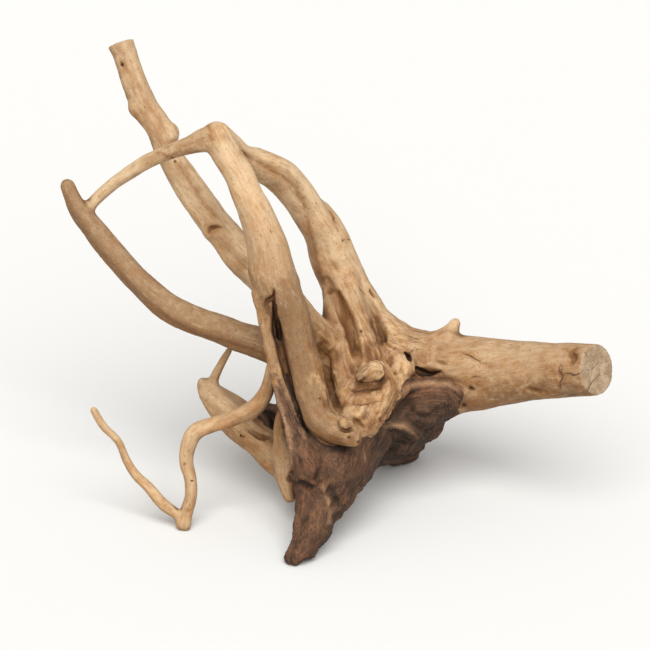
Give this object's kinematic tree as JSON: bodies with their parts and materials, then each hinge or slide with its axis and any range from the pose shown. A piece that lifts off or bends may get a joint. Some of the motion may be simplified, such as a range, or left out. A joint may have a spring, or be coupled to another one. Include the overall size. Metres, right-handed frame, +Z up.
{
  "type": "piece of driftwood",
  "caption": "Branching piece of driftwood: a sawn trunk, long arching roots fused at the tips and a dark weathered underside, standing on three low points.",
  "frame": {"origin": "middle of the bounding box's bottom face, on the surface that the piece stands on", "axes": "+Z up, +X towards the sawn trunk, -Y towards the viewer of the front, where the dark toe stands"},
  "size_m": [0.4136, 0.2683, 0.3191],
  "materials": {
    "weathered_wood": "matte, water-worn, with darker old wood underneath"
  },
  "bodies": {
    "root": {"driftwood": "weathered_wood"}
  },
  "joints": []
}
